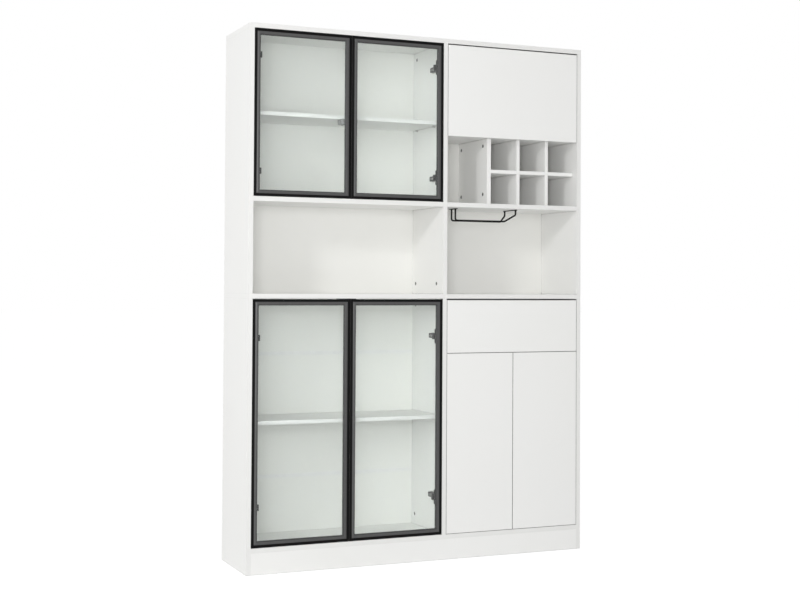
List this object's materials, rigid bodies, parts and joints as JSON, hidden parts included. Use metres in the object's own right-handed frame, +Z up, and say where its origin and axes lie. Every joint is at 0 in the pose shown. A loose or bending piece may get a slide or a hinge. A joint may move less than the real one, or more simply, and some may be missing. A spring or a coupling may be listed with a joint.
{
  "type": "display cabinet",
  "caption": "White display cabinet of a lower and an upper case, with framed glass doors, lift-up flap, bottle rack, open niches, drawer and plain doors.",
  "frame": {"origin": "centre of the footprint on the floor", "axes": "+Z up, -Y towards the doors, +X to the right seen from the front"},
  "size_m": [1.2, 0.27, 1.73],
  "materials": {
    "white_laminate": "white melamine laminate on chipboard, satin",
    "white_front": "white lacquered front, smooth satin",
    "white_backboard": "white printed hardboard",
    "white_plastic": "white extruded plastic",
    "black_aluminium": "black anodised aluminium, fine satin",
    "clear_glass": "clear 4 mm float glass",
    "nickel_steel": "nickel plated pressed steel",
    "zinc_steel": "zinc plated steel",
    "grey_plastic": "grey moulded plastic",
    "black_wire": "black powder-coated steel wire"
  },
  "bodies": {
    "root": {"lower_left_side": "white_laminate", "lower_right_side": "white_laminate", "lower_divider": "white_laminate", "lower_top_board": "white_laminate", "lower_bottom_board": "white_laminate", "plinth_front": "white_laminate", "lower_shelf": "white_laminate", "drawer_shelf": "white_laminate", "lower_back_panels": "white_backboard", "upper_left_side": "white_laminate", "upper_right_side": "white_laminate", "upper_divider": "white_laminate", "upper_top_board": "white_laminate", "display_floor": "white_laminate", "rack_floor": "white_laminate", "rack_ceiling": "white_laminate", "upper_shelf": "white_laminate", "rack_tall_divider": "white_laminate", "rack_thin_dividers": "white_laminate", "rack_cross_shelf": "white_laminate", "upper_back_panels": "white_backboard", "back_joining_strips": "white_plastic", "shelf_pins": "zinc_steel", "cam_locks": "zinc_steel", "hinge_arms": "nickel_steel", "hinge_plates": "nickel_steel", "catch_housings": "grey_plastic", "runner_rails": "zinc_steel", "glass_rack": "black_wire"},
    "upper_left_door": {"upper_left_door_frame": "black_aluminium", "upper_left_door_pane": "clear_glass", "upper_left_door_hinge_cups": "nickel_steel"},
    "upper_right_door": {"upper_right_door_frame": "black_aluminium", "upper_right_door_pane": "clear_glass", "upper_right_door_hinge_cups": "nickel_steel"},
    "lower_left_door": {"lower_left_door_frame": "black_aluminium", "lower_left_door_pane": "clear_glass", "lower_left_door_hinge_cups": "nickel_steel"},
    "lower_right_door": {"lower_right_door_frame": "black_aluminium", "lower_right_door_pane": "clear_glass", "lower_right_door_hinge_cups": "nickel_steel"},
    "plain_left_door": {"plain_left_door": "white_front", "plain_left_door_hinge_cups": "nickel_steel"},
    "plain_right_door": {"plain_right_door": "white_front", "plain_right_door_hinge_cups": "nickel_steel"},
    "flap": {"flap": "white_front", "flap_hinge_cups": "nickel_steel"},
    "drawer": {"drawer_front": "white_front", "drawer_sides": "white_laminate", "drawer_back": "white_laminate", "drawer_bottom": "white_backboard", "drawer_runners": "zinc_steel"},
    "upper_left_plunger": {"upper_left_plunger": "grey_plastic"},
    "upper_right_plunger": {"upper_right_plunger": "grey_plastic"},
    "lower_left_plunger": {"lower_left_plunger": "grey_plastic"},
    "lower_right_plunger": {"lower_right_plunger": "grey_plastic"},
    "plain_left_plunger": {"plain_left_plunger": "grey_plastic"},
    "plain_right_plunger": {"plain_right_plunger": "grey_plastic"},
    "flap_plunger": {"flap_plunger": "grey_plastic"}
  },
  "joints": [
    {"name": "upper_left_door_hinge", "type": "hinge", "parent": "root", "child": "upper_left_door", "pos_m": [-0.5835, -0.135, 1.4495], "axis": [0, 0, -1], "range_deg": [0, 90]},
    {"name": "upper_right_door_hinge", "type": "hinge", "parent": "root", "child": "upper_right_door", "pos_m": [0.071, -0.135, 1.4495], "axis": [0, 0, 1], "range_deg": [0, 90]},
    {"name": "lower_left_door_hinge", "type": "hinge", "parent": "root", "child": "lower_left_door", "pos_m": [-0.5835, -0.135, 0.4725], "axis": [0, 0, -1], "range_deg": [0, 90]},
    {"name": "lower_right_door_hinge", "type": "hinge", "parent": "root", "child": "lower_right_door", "pos_m": [0.071, -0.135, 0.4725], "axis": [0, 0, 1], "range_deg": [0, 90]},
    {"name": "plain_left_door_hinge", "type": "hinge", "parent": "root", "child": "plain_left_door", "pos_m": [0.089, -0.135, 0.3825], "axis": [0, 0, -1], "range_deg": [0, 90]},
    {"name": "plain_right_door_hinge", "type": "hinge", "parent": "root", "child": "plain_right_door", "pos_m": [0.5835, -0.135, 0.3825], "axis": [0, 0, 1], "range_deg": [0, 90]},
    {"name": "flap_hinge", "type": "hinge", "parent": "root", "child": "flap", "pos_m": [0.33625, -0.135, 1.711], "axis": [-1, 0, 0], "range_deg": [0, 90]},
    {"name": "drawer_slide", "type": "slide", "parent": "root", "child": "drawer", "axis": [0, -1, 0], "range_m": [0, 0.16]},
    {"name": "upper_left_catch_push", "type": "slide", "parent": "root", "child": "upper_left_plunger", "axis": [0, 1, 0], "range_m": [0, 0.003], "stiffness_N_per_m": 600, "springref_m": -0.002},
    {"name": "upper_right_catch_push", "type": "slide", "parent": "root", "child": "upper_right_plunger", "axis": [0, 1, 0], "range_m": [0, 0.003], "stiffness_N_per_m": 600, "springref_m": -0.002},
    {"name": "lower_left_catch_push", "type": "slide", "parent": "root", "child": "lower_left_plunger", "axis": [0, 1, 0], "range_m": [0, 0.003], "stiffness_N_per_m": 600, "springref_m": -0.002},
    {"name": "lower_right_catch_push", "type": "slide", "parent": "root", "child": "lower_right_plunger", "axis": [0, 1, 0], "range_m": [0, 0.003], "stiffness_N_per_m": 600, "springref_m": -0.002},
    {"name": "plain_left_catch_push", "type": "slide", "parent": "root", "child": "plain_left_plunger", "axis": [0, 1, 0], "range_m": [0, 0.003], "stiffness_N_per_m": 600, "springref_m": -0.002},
    {"name": "plain_right_catch_push", "type": "slide", "parent": "root", "child": "plain_right_plunger", "axis": [0, 1, 0], "range_m": [0, 0.003], "stiffness_N_per_m": 600, "springref_m": -0.002},
    {"name": "flap_catch_push", "type": "slide", "parent": "root", "child": "flap_plunger", "axis": [0, 1, 0], "range_m": [0, 0.003], "stiffness_N_per_m": 600, "springref_m": -0.002}
  ]
}
